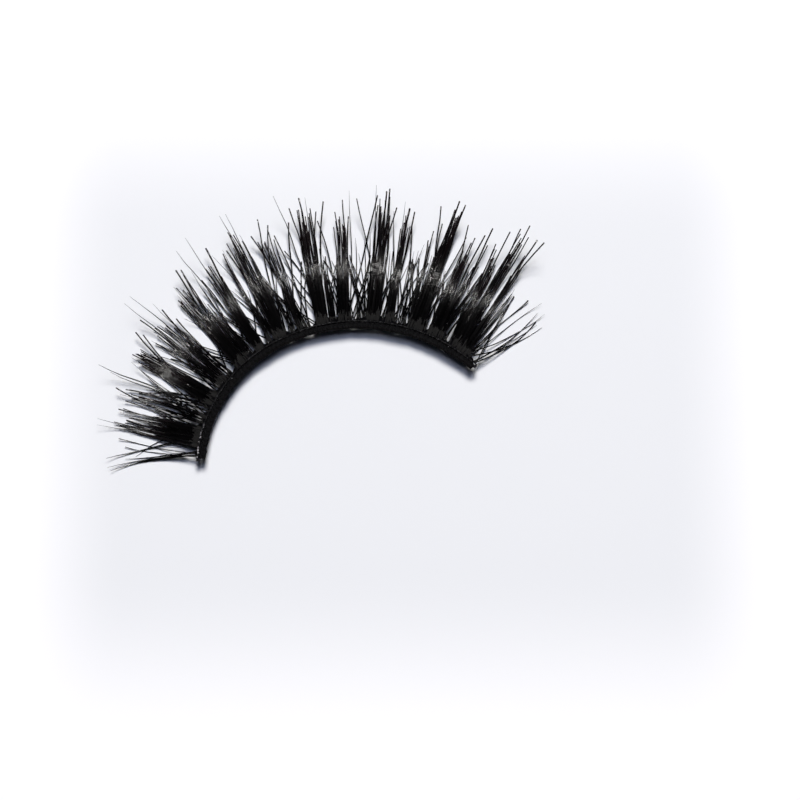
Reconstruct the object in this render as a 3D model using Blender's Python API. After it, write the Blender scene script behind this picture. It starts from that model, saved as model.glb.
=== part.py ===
# False eyelash strip lying on a flat surface with its curl upwards, in metres, +Z up.
# Seen from above, the band is an arch and the lashes fan out from its outer side.
# A place on the strip is given as along (on the band's inner edge, from the inner corner
# of the eye), out (level distance from that edge) and up (square to the lash layer).

import math
import random

import bmesh
import bpy

MM = 0.001

# The band's arch: the heading of its inner edge follows these three terms.
BAND_LENGTH = 32.8 * MM
HEADING_START = math.radians(85.6)
HEADING_TURN = math.radians(-154.65)
HEADING_EASE = math.radians(31.68)
BAND_START_X = -11.20 * MM
BAND_START_Y = -12.03 * MM
CURVE_STEPS = 640

# The curl: the lashes dip from the band to a belly that rests on the surface, then rise.
BELLY_OUT = 6.0 * MM
BELLY_CURVATURE = 0.086 / MM
TIP_CURL = 0.0016 / MM**2

# The band, the two strips of lash roots knotted along its outer side, and its trim.
# The band leans with the lashes, so the foot of its inner wall stands in a little.
BAND_FOOT_OUT = -0.12 * MM
BAND_WIDTH = 0.70 * MM
BAND_THICKNESS = 0.54 * MM
BAND_CHAMFER = 0.12 * MM
BAND_STATIONS = 34
SEAT_GAP = 0.03 * MM
LAYER_GAP = 0.06 * MM
ROOT_WIDTH = 0.42 * MM
ROOT_CHAMFER = 0.04 * MM
THREAD_DIAMETER = 0.15 * MM
THREAD_STATIONS = 46
BAND_OUT = BAND_FOOT_OUT + 0.5 * BAND_WIDTH
THREAD_OUT = BAND_FOOT_OUT + BAND_WIDTH + 0.5 * SEAT_GAP
ROOT_OUT = BAND_FOOT_OUT + BAND_WIDTH + SEAT_GAP + 0.5 * ROOT_WIDTH

# A knot takes the place of the band's last stretch at each end, on its inner side at the
# inner corner of the eye and on its outer side at the outer corner.
KNOT_LENGTH = 0.38 * MM
KNOT_WIDTH = 0.46 * MM
KNOT_THICKNESS = 0.44 * MM
KNOT_SEGMENTS = 12
KNOT_RINGS = 8
INNER_KNOT_OUT = BAND_FOOT_OUT + 0.5 * KNOT_WIDTH
OUTER_KNOT_OUT = BAND_FOOT_OUT + BAND_WIDTH - 0.5 * KNOT_WIDTH

# The two layers of lashes: single crossing ones below, dense locks above.
CROSS_THICKNESS = 0.17 * MM
CROSS_UP = 0.5 * CROSS_THICKNESS
LOCK_THICKNESS = 0.30 * MM
LOCK_UP = CROSS_THICKNESS + LAYER_GAP + 0.5 * LOCK_THICKNESS
SPIKE_SIDES = 5
SPIKE_STATIONS = 7
SPIKE_TAPER_POWER = 1.3

# Dense locks and lone bundles, in millimetres: where each is rooted and ends along the
# band, how wide it is there, how far its middle bows off the straight line between them,
# how far out it reaches, and how many pointed spikes it is combed into.
LOCK_COLUMNS = ("root", "root_width", "bow", "tip", "tip_width", "reach", "spikes")
LOCKS = (
    (0.55, 0.60, 0.0, -1.45, 0.60, 9.0, 2),
    (1.05, 0.30, 0.1, -0.45, 0.20, 9.1, 1),
    (1.90, 1.75, 0.0, 1.85, 1.15, 9.7, 4),
    (3.55, 1.05, 0.1, 3.25, 0.55, 9.4, 3),
    (4.85, 0.30, -0.3, 4.20, 0.15, 11.7, 1),
    (5.58, 1.40, 0.0, 5.55, 0.75, 9.8, 3),
    (6.10, 0.30, -0.1, 6.55, 0.20, 10.3, 1),
    (7.40, 1.45, 0.1, 7.75, 1.10, 11.0, 4),
    (9.58, 1.15, 0.0, 9.70, 0.75, 11.0, 3),
    (10.50, 0.70, 0.0, 10.50, 0.35, 11.3, 2),
    (11.68, 0.90, 0.0, 11.75, 0.90, 11.7, 3),
    (12.90, 0.30, 0.0, 12.95, 0.15, 10.7, 1),
    (13.80, 1.20, 0.0, 13.85, 0.90, 12.3, 4),
    (14.70, 0.30, 0.0, 15.50, 0.20, 11.5, 1),
    (15.70, 0.70, 0.0, 15.45, 0.80, 10.4, 2),
    (16.50, 0.30, 0.0, 16.85, 0.20, 10.9, 1),
    (17.72, 1.25, 0.0, 17.95, 0.95, 12.4, 4),
    (18.70, 0.50, 0.0, 18.80, 0.20, 10.4, 1),
    (19.75, 1.05, 0.0, 20.00, 0.95, 11.6, 3),
    (21.45, 0.30, 0.0, 21.00, 0.20, 11.9, 1),
    (22.25, 1.20, 0.0, 22.40, 0.80, 13.2, 4),
    (23.62, 1.05, 0.0, 23.85, 0.65, 12.0, 3),
    (24.80, 0.50, 0.0, 25.00, 0.30, 8.7, 1),
    (25.75, 0.30, 0.2, 25.60, 0.20, 11.7, 1),
    (26.30, 1.20, 0.2, 26.55, 0.40, 13.7, 3),
    (27.70, 1.30, 0.0, 28.00, 0.95, 11.2, 3),
    (28.65, 0.30, 0.0, 28.75, 0.20, 12.2, 1),
    (29.75, 0.80, 0.0, 29.55, 0.50, 12.1, 2),
    (30.35, 0.80, 0.1, 30.40, 0.45, 13.9, 2),
    (31.10, 0.80, 0.0, 31.30, 0.50, 13.5, 2),
    (31.65, 0.35, 0.1, 31.90, 0.20, 8.6, 1),
    (32.05, 0.60, 0.7, 34.90, 0.90, 7.9, 3),
)
LOCK_SPIKE_WIDTH = 0.48 * MM
LOCK_TIP_SHARE = 0.22
LOCK_WAIST_SHARE = 0.50
RAGGED_REACH = (0.94, 1.0, 0.88, 0.97)

# Single lashes of the crossing layer, which lean to either side in turn.
CROSS_COUNT = 30
CROSS_WIDTH = 0.20 * MM
CROSS_TIP_SHARE = 0.30
CROSS_END_MARGIN = 0.35 * MM
CROSS_LEAN = (0.9 * MM, 2.3 * MM)
CROSS_REACH = (8.0 * MM, 10.6 * MM)
CROSS_END_REACH = 0.80
CROSS_SEED = 11


def band_curve():
    # Places and headings along the band's inner edge, added up in short steps.
    step = BAND_LENGTH / CURVE_STEPS
    x, y = BAND_START_X, BAND_START_Y
    stations = []
    for i in range(CURVE_STEPS + 1):
        share = i / CURVE_STEPS
        stations.append((x, y, HEADING_START + HEADING_TURN * share + HEADING_EASE * share**2))
        middle = share + 0.5 / CURVE_STEPS
        heading = HEADING_START + HEADING_TURN * middle + HEADING_EASE * middle**2
        x += math.cos(heading) * step
        y += math.sin(heading) * step
    return stations


CURVE = band_curve()


def edge_at(along):
    # The inner edge at a distance along it, carried on straight past both ends.
    place = min(max(along / BAND_LENGTH, 0), 1) * CURVE_STEPS
    index = min(int(place), CURVE_STEPS - 1)
    part = place - index
    x0, y0, heading0 = CURVE[index]
    x1, y1, heading1 = CURVE[index + 1]
    heading = heading0 + (heading1 - heading0) * part
    past = min(along, 0) + max(along - BAND_LENGTH, 0)
    x = x0 + (x1 - x0) * part + math.cos(heading) * past
    y = y0 + (y1 - y0) * part + math.sin(heading) * past
    return x, y, heading


def layer_height(out):
    reach = out - BELLY_OUT
    return 0.5 * BELLY_CURVATURE * reach**2 + TIP_CURL * max(reach, 0) ** 3


def layer_slope(out):
    reach = out - BELLY_OUT
    return math.atan(BELLY_CURVATURE * reach + 3 * TIP_CURL * max(reach, 0) ** 2)


def strip_point(along, out, up):
    x, y, heading = edge_at(along)
    slope = layer_slope(out)
    level = out - math.sin(slope) * up
    return (
        x - math.sin(heading) * level,
        y + math.cos(heading) * level,
        layer_height(out) + math.cos(slope) * up,
    )


def material(name, colour, roughness):
    made = bpy.data.materials.new(name)
    made.use_nodes = True
    shader = made.node_tree.nodes["Principled BSDF"]
    shader.inputs["Base Color"].default_value = (*colour, 1)
    shader.inputs["Roughness"].default_value = roughness
    shader.inputs["Metallic"].default_value = 0
    return made


def collection(name):
    made = bpy.data.collections.new(name)
    bpy.context.scene.collection.children.link(made)
    return made


def helper(name, data, helpers):
    # An outline or joiner that shapes other pieces and isn't one itself.
    made = bpy.data.objects.new(name, data)
    made.hide_render = True
    made.display_type = "WIRE"
    helpers.objects.link(made)
    return made


def outline(name, corners, helpers):
    # A closed outline that a curve is swept with.
    curve = bpy.data.curves.new(name, "CURVE")
    curve.dimensions = "2D"
    curve.fill_mode = "NONE"
    spline = curve.splines.new("POLY")
    spline.points.add(len(corners) - 1)
    for point, (across, upwards) in zip(spline.points, corners):
        point.co = (across, upwards, 0, 1)
    spline.use_cyclic_u = True
    return helper(name, curve, helpers)


def ellipse(width, height):
    # Corners of a flattened round section, one of them straight down.
    angles = [math.tau * (i / SPIKE_SIDES - 0.25) for i in range(SPIKE_SIDES)]
    return [(0.5 * width * math.cos(a), 0.5 * height * math.sin(a)) for a in angles]


def leaning_bar(width, height, chamfer, out):
    # A flat bar with its edges cut off, leaning as the lash layer does at out.
    w, h = 0.5 * width, 0.5 * height
    quarter = [(w, h - chamfer), (w - chamfer, h)]
    half = quarter + [(-across, upwards) for across, upwards in reversed(quarter)]
    corners = half + [(-across, -upwards) for across, upwards in half]
    slope = layer_slope(out)
    leaned = []
    for across, upwards in corners:
        level = across * math.cos(slope) - upwards * math.sin(slope)
        rise = across * math.sin(slope) + upwards * math.cos(slope)
        leaned.append((-level, rise))
    return leaned


def swept(name, points, radii, home, profile=None, diameter=0):
    # A closed mesh swept along points, with an outline or else a round section.
    curve = bpy.data.curves.new(name, "CURVE")
    curve.dimensions = "3D"
    curve.twist_mode = "Z_UP"
    curve.use_fill_caps = True
    if profile:
        curve.bevel_mode = "OBJECT"
        curve.bevel_object = profile
    else:
        curve.bevel_depth = 0.5 * diameter
        curve.bevel_resolution = 1
    spline = curve.splines.new("POLY")
    spline.points.add(len(points) - 1)
    for point, place, radius in zip(spline.points, points, radii):
        point.co = (*place, 1)
        point.radius = radius
    guide = bpy.data.objects.new(name, curve)
    bpy.context.scene.collection.objects.link(guide)
    bpy.context.view_layer.update()
    graph = bpy.context.evaluated_depsgraph_get()
    mesh = bpy.data.meshes.new_from_object(guide.evaluated_get(graph))
    bpy.data.objects.remove(guide)
    close_mesh(mesh)
    made = bpy.data.objects.new(name, mesh)
    home.objects.link(made)
    return made


def close_mesh(mesh):
    # Joins a swept mesh's end caps to its sides and turns its faces outwards.
    work = bmesh.new()
    work.from_mesh(mesh)
    bmesh.ops.remove_doubles(work, verts=work.verts, dist=0.0001 * MM)
    bmesh.ops.recalc_face_normals(work, faces=work.faces)
    work.to_mesh(mesh)
    work.free()


def along_band(out, up, start, end, stations):
    # Points that follow the band at one distance from its inner edge.
    places = [start + (end - start) * i / (stations - 1) for i in range(stations)]
    return [strip_point(along, out, up) for along in places]


def through(start, middle, end, share):
    # A value that passes smoothly through three others as share goes from 0 to 1.
    first = start * (1 - share) * (1 - 2 * share)
    last = end * share * (2 * share - 1)
    return first + 4 * middle * share * (1 - share) + last


def spike(name, alongs, reach, up, tip_share, profile, home):
    # One tapering, curling point of lashes; alongs are its root, middle and tip.
    points = []
    radii = []
    for i in range(SPIKE_STATIONS):
        share = i / (SPIKE_STATIONS - 1)
        out = ROOT_OUT + (reach - ROOT_OUT) * share
        points.append(strip_point(through(*alongs, share), out, up))
        radii.append(1 - (1 - tip_share) * share**SPIKE_TAPER_POWER)
    return swept(name, points, radii, home, profile=profile)


def lock_spikes(row, profile, home):
    lock = dict(zip(LOCK_COLUMNS, row))
    count = lock["spikes"]
    root_spread = lock["root_width"] * MM - LOCK_SPIKE_WIDTH if count > 1 else 0
    tip_spread = lock["tip_width"] * MM if count > 1 else 0
    waist_spread = LOCK_WAIST_SHARE * lock["root_width"] * MM if count > 1 else 0
    root, tip = lock["root"] * MM, lock["tip"] * MM
    for i in range(count):
        side = i / (count - 1) - 0.5 if count > 1 else 0
        alongs = (
            root + side * root_spread,
            0.5 * (root + tip) + lock["bow"] * MM + side * waist_spread,
            tip + side * tip_spread,
        )
        reach = lock["reach"] * MM * (RAGGED_REACH[i] if count > 1 else 1)
        spike("lock_spike", alongs, reach, LOCK_UP, LOCK_TIP_SHARE, profile, home)


def cross_spikes(profile, home):
    rng = random.Random(CROSS_SEED)
    span = BAND_LENGTH - 2 * CROSS_END_MARGIN
    for i in range(CROSS_COUNT):
        share = i / (CROSS_COUNT - 1)
        root = CROSS_END_MARGIN + span * share
        lean = rng.uniform(*CROSS_LEAN) * (1 if i % 2 else -1)
        shorter = CROSS_END_REACH + (1 - CROSS_END_REACH) * math.sin(math.pi * share)
        reach = rng.uniform(*CROSS_REACH) * shorter
        alongs = (root, root + 0.55 * lean, root + lean)
        spike("cross_spike", alongs, reach, CROSS_UP, CROSS_TIP_SHARE, profile, home)


def fringe(name, up, thickness, spikes, finish, part, helpers):
    # A strip of lash roots with every spike of its layer fused to it.
    bar = leaning_bar(ROOT_WIDTH, thickness, ROOT_CHAMFER, ROOT_OUT)
    profile = outline(name + "_root", bar, helpers)
    points = along_band(ROOT_OUT, up, 0, BAND_LENGTH, BAND_STATIONS)
    made = swept(name, points, [1] * BAND_STATIONS, part, profile=profile)
    join = made.modifiers.new("spikes", "BOOLEAN")
    join.operation = "UNION"
    join.operand_type = "COLLECTION"
    join.collection = spikes
    join.solver = "EXACT"
    made.data.materials.append(finish)
    return made


def band(finish, part, helpers):
    bar = leaning_bar(BAND_WIDTH, BAND_THICKNESS, BAND_CHAMFER, BAND_OUT)
    profile = outline("band_outline", bar, helpers)
    end = KNOT_LENGTH + SEAT_GAP
    points = along_band(BAND_OUT, 0.5 * BAND_THICKNESS, end, BAND_LENGTH - end, BAND_STATIONS)
    made = swept("band", points, [1] * BAND_STATIONS, part, profile=profile)
    made.data.materials.append(finish)
    return made


def knot_thread(finish, part):
    # The thread that lies in the groove between the band and the lash roots.
    up = BAND_THICKNESS + SEAT_GAP + 0.5 * THREAD_DIAMETER
    points = along_band(THREAD_OUT, up, 0, BAND_LENGTH, THREAD_STATIONS)
    radii = [1] * THREAD_STATIONS
    made = swept("knot_thread", points, radii, part, diameter=THREAD_DIAMETER)
    made.data.materials.append(finish)
    return made


def end_knot(name, along, out, finish, part):
    # A flattened knot in line with the band, against one of its ends.
    mesh = bpy.data.meshes.new(name)
    work = bmesh.new()
    bmesh.ops.create_uvsphere(work, u_segments=KNOT_SEGMENTS, v_segments=KNOT_RINGS, radius=0.5)
    work.to_mesh(mesh)
    work.free()
    mesh.shade_smooth()
    mesh.materials.append(finish)
    made = bpy.data.objects.new(name, mesh)
    made.location = strip_point(along, out, 0.5 * BAND_THICKNESS)
    made.rotation_euler = (layer_slope(out), 0, edge_at(along)[2])
    made.scale = (KNOT_LENGTH, KNOT_WIDTH, KNOT_THICKNESS)
    part.objects.link(made)
    return made


def build():
    for old in list(bpy.data.objects):
        bpy.data.objects.remove(old)
    part = collection("false_eyelash_strip")
    helpers = collection("outlines")
    locks = collection("lock_spikes")
    crossing = collection("cross_spikes")

    fibre = material("lash_fibre", (0.006, 0.005, 0.006), 0.38)
    cotton = material("band_cotton", (0.010, 0.009, 0.012), 0.75)
    thread = material("thread", (0.035, 0.034, 0.040), 0.45)
    knot = material("knot", (0.050, 0.048, 0.055), 0.60)

    lock_profile = outline("lock_outline", ellipse(LOCK_SPIKE_WIDTH, LOCK_THICKNESS), helpers)
    cross_profile = outline("cross_outline", ellipse(CROSS_WIDTH, CROSS_THICKNESS), helpers)
    for row in LOCKS:
        lock_spikes(row, lock_profile, locks)
    cross_spikes(cross_profile, crossing)
    for joiner in [*locks.objects, *crossing.objects]:
        joiner.hide_render = True
        joiner.display_type = "WIRE"

    band(cotton, part, helpers)
    fringe("lash_fringe", LOCK_UP, LOCK_THICKNESS, locks, fibre, part, helpers)
    fringe("cross_fringe", CROSS_UP, CROSS_THICKNESS, crossing, fibre, part, helpers)
    knot_thread(thread, part)
    end_knot("inner_end_knot", 0.5 * KNOT_LENGTH, INNER_KNOT_OUT, knot, part)
    end_knot("outer_end_knot", BAND_LENGTH - 0.5 * KNOT_LENGTH, OUTER_KNOT_OUT, knot, part)


build()
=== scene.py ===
import bpy
import numpy as np
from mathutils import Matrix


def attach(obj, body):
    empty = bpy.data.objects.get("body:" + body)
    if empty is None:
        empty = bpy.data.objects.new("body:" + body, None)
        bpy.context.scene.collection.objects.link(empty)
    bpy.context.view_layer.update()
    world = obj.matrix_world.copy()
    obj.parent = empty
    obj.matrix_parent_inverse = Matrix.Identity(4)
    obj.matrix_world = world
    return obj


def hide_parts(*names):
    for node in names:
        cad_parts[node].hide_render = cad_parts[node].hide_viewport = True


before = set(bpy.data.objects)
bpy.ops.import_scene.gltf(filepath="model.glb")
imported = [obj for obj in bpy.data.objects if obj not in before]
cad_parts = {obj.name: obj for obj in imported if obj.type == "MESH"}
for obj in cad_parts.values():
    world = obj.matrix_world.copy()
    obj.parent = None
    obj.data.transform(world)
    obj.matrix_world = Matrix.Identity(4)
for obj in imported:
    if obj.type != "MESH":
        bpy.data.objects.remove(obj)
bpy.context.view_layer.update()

mm = 0.001
rng = np.random.default_rng(4)

# the band's arch and the lashes' curl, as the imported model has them
arch = {
    "length": 32.8 * mm,
    "startX": -11.20 * mm,
    "startY": -12.03 * mm,
    "heading": 85.6,         # degrees, at the inner corner of the eye
    "turn": -154.65,
    "ease": 31.68,
    "steps": 640,
}
curl = {
    "bellyOut": 6.0 * mm,    # where the lashes touch the surface
    "curvature": 0.086 / mm,
    "tipCurl": 0.0016 / mm**2,
}


def traceArch():
    share = np.linspace(0, 1, arch["steps"] + 1)
    middle = share[:-1] + 0.5 / arch["steps"]
    step = arch["length"] / arch["steps"]

    def headingAt(part):
        return np.radians(arch["heading"] + arch["turn"] * part + arch["ease"] * part**2)

    xs = arch["startX"] + step * np.concatenate([[0], np.cumsum(np.cos(headingAt(middle)))])
    ys = arch["startY"] + step * np.concatenate([[0], np.cumsum(np.sin(headingAt(middle)))])
    return share * arch["length"], xs, ys, headingAt(share)


archAlong, archX, archY, archHeading = traceArch()


def layerHeight(out):
    reach = out - curl["bellyOut"]
    return 0.5 * curl["curvature"] * reach**2 + curl["tipCurl"] * np.maximum(reach, 0) ** 3


def layerSlope(out):
    reach = out - curl["bellyOut"]
    return np.arctan(curl["curvature"] * reach + 3 * curl["tipCurl"] * np.maximum(reach, 0) ** 2)


def stripPoints(along, out, up):
    # points of the frame, with the band's edge carried on straight past both ends
    x = np.interp(along, archAlong, archX)
    y = np.interp(along, archAlong, archY)
    heading = np.interp(along, archAlong, archHeading)
    past = np.minimum(along, 0) + np.maximum(along - arch["length"], 0)
    slope = layerSlope(out)
    level = out - np.sin(slope) * up
    return np.stack([
        x + np.cos(heading) * past - np.sin(heading) * level,
        y + np.sin(heading) * past + np.cos(heading) * level,
        layerHeight(out) + np.cos(slope) * up,
    ], axis=-1)


# the band's uneven width: its inner edge, and its width as a share of the full one
bandColumns = ("along", "inner", "share")
bandWidths = (
    (0.0, -0.30, 1.08), (5.0, -0.24, 1.02), (9.0, -0.18, 0.98), (11.5, -0.16, 0.90),
    (15.0, -0.15, 0.86), (18.0, -0.15, 0.84), (20.5, -0.15, 0.92), (24.0, -0.16, 0.96),
    (28.0, -0.18, 0.96), (30.0, -0.19, 0.86), (31.5, -0.20, 0.76), (32.8, -0.20, 0.68),
)
bandFoot = -0.12 * mm


def drawnOut(along, out):
    # a place beside the band, moved to fit the band's uneven width
    columns = dict(zip(bandColumns, np.array(bandWidths).T))
    inner = np.interp(along, columns["along"] * mm, columns["inner"] * mm)
    return inner + (out - bandFoot) * np.interp(along, columns["along"] * mm, columns["share"])


def layerUps(along, out):
    # the direction square to the lash layer at each place
    heading = np.interp(along, archAlong, archHeading)
    slope = layerSlope(out) + 0 * heading
    return np.stack([
        np.sin(heading) * np.sin(slope),
        -np.cos(heading) * np.sin(slope),
        np.cos(slope),
    ], axis=-1)


# tubes made from arrays: one mesh holds many of them

def unit(vectors):
    return vectors / np.linalg.norm(vectors, axis=-1, keepdims=True)


def tubeFrames(paths, ups):
    tangents = unit(np.gradient(paths, axis=1))
    if ups is not None:
        sides = unit(np.cross(tangents, ups))
        return sides, np.cross(sides, tangents)
    sides = np.empty_like(paths)
    sides[:, 0] = unit(np.cross(tangents[:, 0], [0.13, 0.07, 1.0]))
    for j in range(1, paths.shape[1]):   # carried along without twisting
        carried = sides[:, j - 1]
        lean = np.sum(carried * tangents[:, j], axis=-1, keepdims=True)
        sides[:, j] = unit(carried - lean * tangents[:, j])
    return sides, np.cross(sides, tangents)


def tubeMesh(name, sets):
    # each set is a dictionary of paths, radii, corners and what its material reads
    verts, faces, uvs, tones, alongs = [], [], [], [], []
    first = 0
    for part in sets:
        paths, radii, corners = part["paths"], part["radii"], part["corners"]
        count, stations = radii.shape
        sides, lifts = tubeFrames(paths, part.get("ups"))
        turn = np.linspace(0, 2 * np.pi, corners, endpoint=False)
        ring = (np.cos(turn)[:, None] * sides[:, :, None, :]
                + part.get("flat", 1) * np.sin(turn)[:, None] * lifts[:, :, None, :])
        verts.append((paths[:, :, None, :] + radii[:, :, None, None] * ring).reshape(-1, 3))

        index = first + np.arange(count * stations * corners).reshape(count, stations, corners)
        near, far = index[:, :-1], index[:, 1:]
        quads = np.stack([near, far, np.roll(far, -1, 2), np.roll(near, -1, 2)], axis=-1)
        faces += quads.reshape(-1, 4).tolist()
        faces += index[:, 0, :].tolist()
        faces += index[:, -1, ::-1].tolist()

        steps = np.linalg.norm(np.diff(paths, axis=1), axis=-1)
        distance = np.concatenate([np.zeros((count, 1)), np.cumsum(steps, axis=1)], axis=1) / mm
        around = np.arange(corners + 1) / corners
        low, high = distance[:, :-1, None], distance[:, 1:, None]
        left = np.broadcast_to(around[:-1], (count, stations - 1, corners))
        right = np.broadcast_to(around[1:], left.shape)
        low, high = np.broadcast_to(low, left.shape), np.broadcast_to(high, left.shape)
        loops = np.stack([left, low, left, high, right, high, right, low], axis=-1)
        uvs.append(loops.reshape(-1, 2))
        for j, order in ((0, 1), (-1, -1)):
            ends = np.stack([np.broadcast_to(around[:-1][::order], (count, corners)),
                             np.broadcast_to(distance[:, j, None], (count, corners))], axis=-1)
            uvs.append(ends.reshape(-1, 2))

        tone = part.get("tone", np.full(count, 0.5))
        tones.append(np.repeat(tone, stations * corners))
        reach = distance / distance[:, -1:]
        alongs.append(np.repeat(reach.reshape(-1), corners))
        first += count * stations * corners

    mesh = bpy.data.meshes.new(name)
    mesh.from_pydata(np.concatenate(verts), [], faces)
    mesh.uv_layers.new(name="tube").data.foreach_set("uv", np.concatenate(uvs).ravel())
    for label, values in (("tone", tones), ("reach", alongs)):
        attribute = mesh.attributes.new(label, "FLOAT", "POINT")
        attribute.data.foreach_set("value", np.concatenate(values))
    mesh.shade_smooth()
    piece = bpy.data.objects.new(name, mesh)
    bpy.context.scene.collection.objects.link(piece)
    return piece


# helpers for shader nodes

def feed(links, slot, value):
    # a socket is linked, and a plain value is set
    if isinstance(value, bpy.types.NodeSocket):
        links.new(value, slot)
    else:
        slot.default_value = value


def calculate(nodes, links, operation, *values):
    node = nodes.new("ShaderNodeMath")
    node.operation = operation
    for slot, value in zip(node.inputs, values):
        feed(links, slot, value)
    return node.outputs[0]


def mapValue(nodes, links, value, low, high, fromLow=0.0, fromHigh=1.0):
    mapped = nodes.new("ShaderNodeMapRange")
    feed(links, mapped.inputs["From Min"], fromLow)
    feed(links, mapped.inputs["From Max"], fromHigh)
    mapped.inputs["To Min"].default_value = low
    mapped.inputs["To Max"].default_value = high
    links.new(value, mapped.inputs["Value"])
    return mapped.outputs[0]


def mixColours(nodes, links, mask, first, second):
    # each colour is a socket or its red, green and blue
    mix = nodes.new("ShaderNodeMix")
    mix.data_type = "RGBA"
    for label, colour in (("A", first), ("B", second)):
        feed(links, mix.inputs[label], (*colour, 1) if isinstance(colour, tuple) else colour)
    links.new(mask, mix.inputs["Factor"])
    return mix.outputs["Result"]


def addNoise(nodes, links, scale, detail):
    coords = nodes.new("ShaderNodeTexCoord")
    noise = nodes.new("ShaderNodeTexNoise")
    noise.inputs["Detail"].default_value = detail
    feed(links, noise.inputs["Scale"], scale)
    links.new(coords.outputs["Object"], noise.inputs["Vector"])
    return noise.outputs["Fac"]


def bumpFrom(nodes, links, shader, height, depth):
    bump = nodes.new("ShaderNodeBump")
    bump.inputs["Distance"].default_value = depth
    bump.inputs["Strength"].default_value = 1.0
    links.new(height, bump.inputs["Height"])
    links.new(bump.outputs["Normal"], shader.inputs["Normal"])


def readAttribute(nodes, label):
    node = nodes.new("ShaderNodeAttribute")
    node.attribute_name = label
    return node.outputs["Fac"]


def readTube(nodes, links):
    # how far round a tube a place is, as a share, and how far along it, in millimetres
    uv = nodes.new("ShaderNodeUVMap")
    uv.uv_map = "tube"
    split = nodes.new("ShaderNodeSeparateXYZ")
    links.new(uv.outputs["UV"], split.inputs[0])
    return split.outputs["X"], split.outputs["Y"]


# shader groups that more than one finish uses

groups = {
    "fuzzScale": 14000,       # the fibres on a yarn
    "fuzzDetail": 3,
    "valleyTop": 0.45,        # how high up a ridge its valleys reach
    "patchDetail": 2,
    "grainDetail": 3,
    "grainFiner": 6.5,        # how much finer the grain is than the patches
}


def newGroup(name, inputs, outputs):
    tree = bpy.data.node_groups.new(name, "ShaderNodeTree")
    for label, value in inputs.items():
        made = tree.interface.new_socket(label, in_out="INPUT", socket_type="NodeSocketFloat")
        made.default_value = value
    for label in outputs:
        tree.interface.new_socket(label, in_out="OUTPUT", socket_type="NodeSocketFloat")
    return tree, tree.nodes.new("NodeGroupInput"), tree.nodes.new("NodeGroupOutput")


def makeTwistGroup():
    # ridges that wind round a yarn, with finer fibres on them, and a mask of the valleys between
    # them that the band's cotton uses for painted shade and the thread for its roughness
    tree, given, result = newGroup(
        "yarnTwist", {"Turns": 2.0, "Slant": 4.0, "Fuzz": 0.3}, ("Height", "Valley"))
    nodes, links = tree.nodes, tree.links
    around, along = readTube(nodes, links)
    start = calculate(nodes, links, "MULTIPLY", around, given.outputs["Turns"])
    wound = calculate(nodes, links, "MULTIPLY_ADD", along, given.outputs["Slant"], start)
    angle = calculate(nodes, links, "MULTIPLY", wound, 2 * np.pi)
    wave = calculate(nodes, links, "SINE", angle)
    ridge = mapValue(nodes, links, wave, 0.0, 1.0, -1.0, 1.0)
    noise = addNoise(nodes, links, groups["fuzzScale"], groups["fuzzDetail"])
    fuzz = calculate(nodes, links, "MULTIPLY", noise, given.outputs["Fuzz"])
    height = calculate(nodes, links, "ADD", ridge, fuzz)
    valleyShade = mapValue(nodes, links, ridge, 0.0, 1.0, groups["valleyTop"], 0.0)
    links.new(height, result.inputs["Height"])
    links.new(valleyShade, result.inputs["Valley"])
    return tree


def makeBlotchGroup():
    # slow uneven patches, such as dried glue or dye leaves, and a finer grain
    tree, given, result = newGroup(
        "unevenPatches", {"Scale": 900.0, "Low": 0.35, "High": 0.65}, ("Mask", "Grain"))
    nodes, links = tree.nodes, tree.links
    slow = addNoise(nodes, links, given.outputs["Scale"], groups["patchDetail"])
    finer = calculate(nodes, links, "MULTIPLY", given.outputs["Scale"], groups["grainFiner"])
    grain = addNoise(nodes, links, finer, groups["grainDetail"])
    mask = mapValue(nodes, links, slow, 0.0, 1.0, given.outputs["Low"], given.outputs["High"])
    links.new(mask, result.inputs["Mask"])
    links.new(grain, result.inputs["Grain"])
    return tree


twistGroup = makeTwistGroup()
blotchGroup = makeBlotchGroup()


def newFinish(name, **plain):
    made = bpy.data.materials.new(name)
    made.use_nodes = True
    shader = made.node_tree.nodes["Principled BSDF"]
    for label, value in plain.items():
        shader.inputs[label.replace("_", " ")].default_value = value
    return made, made.node_tree.nodes, made.node_tree.links, shader


def addGroup(nodes, tree, values):
    node = nodes.new("ShaderNodeGroup")
    node.node_tree = tree
    for label, value in values.items():
        node.inputs[label].default_value = value
    return node


# black fibre, no two alike, a little brown where it thins out to the tip

fibreLook = {
    "black": (0.0004, 0.0004, 0.0005),
    "lessBlack": (0.0020, 0.0018, 0.0021),
    "tip": (0.010, 0.006, 0.007),
    "tipFrom": 0.60,          # where the brown begins, as a share of the lash
    "gloss": 0.32,
    "rough": (0.13, 0.26),
    "gluedRough": 0.80,       # dull where the glue has wetted the root
    "gluedTo": (0.075, 0.14),
}


def lashFibreFinish():
    made, nodes, links, shader = newFinish("lashFibre", Specular_IOR_Level=fibreLook["gloss"])
    tone = readAttribute(nodes, "tone")
    reach = readAttribute(nodes, "reach")
    body = mixColours(nodes, links, tone, fibreLook["black"], fibreLook["lessBlack"])
    thinning = mapValue(nodes, links, reach, 0.0, 1.0, fibreLook["tipFrom"], 1.0)
    colour = mixColours(nodes, links, thinning, body, fibreLook["tip"])
    links.new(colour, shader.inputs["Base Color"])
    clean = mapValue(nodes, links, tone, *fibreLook["rough"])
    glued = mapValue(nodes, links, reach, fibreLook["gluedRough"], 0.0, *fibreLook["gluedTo"])
    links.new(calculate(nodes, links, "MAXIMUM", clean, glued), shader.inputs["Roughness"])
    return made


# the cotton of the band, dyed black and stiff with glue, with painted shade darkening the valleys
# between the twisted ridges

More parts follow.
